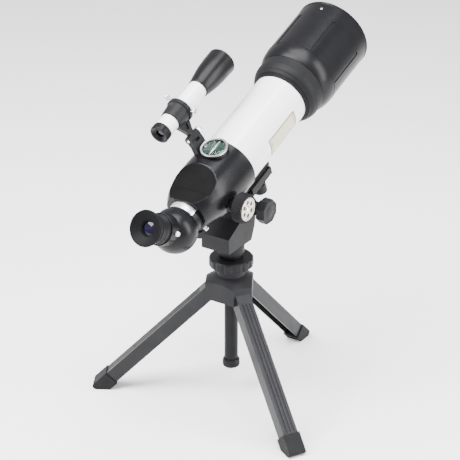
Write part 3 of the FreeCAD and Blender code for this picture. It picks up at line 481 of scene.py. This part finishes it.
# ------------------------------------------------------- elbow and eyepiece
EZ = EYE @ Matrix.Rotation(math.radians(-90), 4, "X")
cup = turned("eyecup_rubber", [
    (48.6, 15.1), (48.6, 17.0), (49.3, 17.2), (49.7, 16.95), (50.3, 17.35), (50.8, 17.1), (51.5, 17.6), (52.6, 17.9), (54.2, 18.5), (56.2, 19.35), (57.8, 19.9), (58.8, 20.3), (59.5, 20.38),
    (60.1, 20.2), (60.38, 19.7), (60.38, 18.9), (59.4, 18.0), (57.6, 15.2), (56.0, 12.4), (55.2, 11.0), (54.6, 9.3), (53.8, 9.2), (53.75, 15.0)],
    EZ, "cup", "eyepiece", "cup_rubber", closed=True, n=128)
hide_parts("eyecup")
for i, z in enumerate((40.4, 42.2, 44.0, 45.8)):
    turned("eyepiece_ring_%d" % i, [(z - 0.3, 17.02), (z, 17.28), (z + 0.3, 17.02), (z, 16.8)], EZ, "eyepiece", "eyepiece", "eyepiece_metal", closed=True, n=112)
turned("port_bead", [(32.4, 17.85), (32.9, 18.25), (33.6, 18.25), (34.0, 17.85), (33.2, 17.5)], EZ, "elbow", "elbow", "elbow_plastic", closed=True, n=112)

# -------------------------------------------------------------- the compass
CP = TUBE @ move(1.4, -24.5, 0)
ticks = []
for k in range(12):
    a = math.radians(30 * k)
    long = k % 3 == 0
    m = Matrix.Rotation(a, 4, "Z")
    ticks.append(block(11.4 if long else 12.1, 0, 38.46, 2.6 if long else 1.4, 0.6 if long else 0.3, 0.1, 0, m))
vs, fs = join(ticks)
piece("compass_marks", vs, fs, CP, "mark", "telescope", "dial_green", smooth=False)
piece("needle_south", [(0, -10.8, 39.12), (1.35, -0.9, 39.12), (-1.35, -0.9, 39.12), (0, -10.8, 39.18), (1.35, -0.9, 39.18), (-1.35, -0.9, 39.18)],
      [(0, 2, 1), (3, 4, 5), (0, 1, 4, 3), (1, 2, 5, 4), (2, 0, 3, 5)], CP, "mark", "compass_needle", "needle_paint", smooth=False)

# --------------------------------------------------------------- the finder
FY = FIN @ Matrix.Rotation(math.radians(-90), 4, "X")
for i, s in enumerate((-57.0, -54.6, -52.2)):
    turned("finder_cell_ring_%d" % i, [(s - 0.35, 11.3), (s, 11.65), (s + 0.35, 11.3), (s, 11.0)], FY, "cell", "finder", "shield_plastic", closed=True, n=96)
turned("finder_hood_ring", [(24.6, 11.8), (25.2, 12.3), (26.2, 12.5), (26.8, 12.35), (25.6, 11.6)], FY, "shield", "finder", "shield_plastic", closed=True, n=96)

# ---------------------------------------------------- the table and lighting
bpy.ops.mesh.primitive_plane_add(size=14.0, location=(0, 0, -0.0002))
floor = bpy.context.object
floor.name = "floor"
fm = material("floor_pale", (0.92, 0.92, 0.92), 0.6, grain=120, bump=0.02, vary=0.01)
floor.data.materials.append(fm)
floor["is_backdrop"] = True

world = bpy.data.worlds.new("studio")
bpy.context.scene.world = world
world.use_nodes = True
bg = world.node_tree.nodes["Background"]
bg.inputs["Color"].default_value = (1.0, 1.0, 1.0, 1.0)
bg.inputs["Strength"].default_value = 0.95

TARGET = Vector((-0.00036, -0.0350, 0.2156))


def lamp(name, az, el, dist, size, power):
    """A soft box that looks at the object from that side and height, in degrees."""
    a, e = math.radians(az), math.radians(el)
    pos = TARGET + Vector((math.sin(a) * math.cos(e), -math.cos(a) * math.cos(e), math.sin(e))) * dist
    d = bpy.data.lights.new(name, "AREA")
    d.shape = "RECTANGLE"
    d.size, d.size_y = size
    d.energy = power
    o = bpy.data.objects.new(name, d)
    bpy.context.scene.collection.objects.link(o)
    o.location = pos
    o.rotation_euler = (TARGET - pos).to_track_quat("-Z", "Y").to_euler()
    o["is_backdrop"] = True


lamp("key", -35, 50, 1.7, (1.0, 1.0), 75)
lamp("rim_right", 105, 22, 1.5, (0.5, 1.4), 40)
lamp("top", 30, 82, 1.6, (1.2, 1.2), 75)

a, e = math.radians(33.28), math.radians(25.66)
cam_data = bpy.data.cameras.new("photo_camera")
cam_data.sensor_width = 36.0
cam_data.lens = 133.0
cam = bpy.data.objects.new("photo_camera", cam_data)
bpy.context.scene.collection.objects.link(cam)
cam.location = TARGET + Vector((math.sin(a) * math.cos(e), -math.cos(a) * math.cos(e), math.sin(e))) * 1.979
cam.rotation_euler = (TARGET - cam.location).to_track_quat("-Z", "Y").to_euler()
bpy.context.scene.camera = cam

{"at_load": size_at_load, "before_finish": plain(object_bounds())}
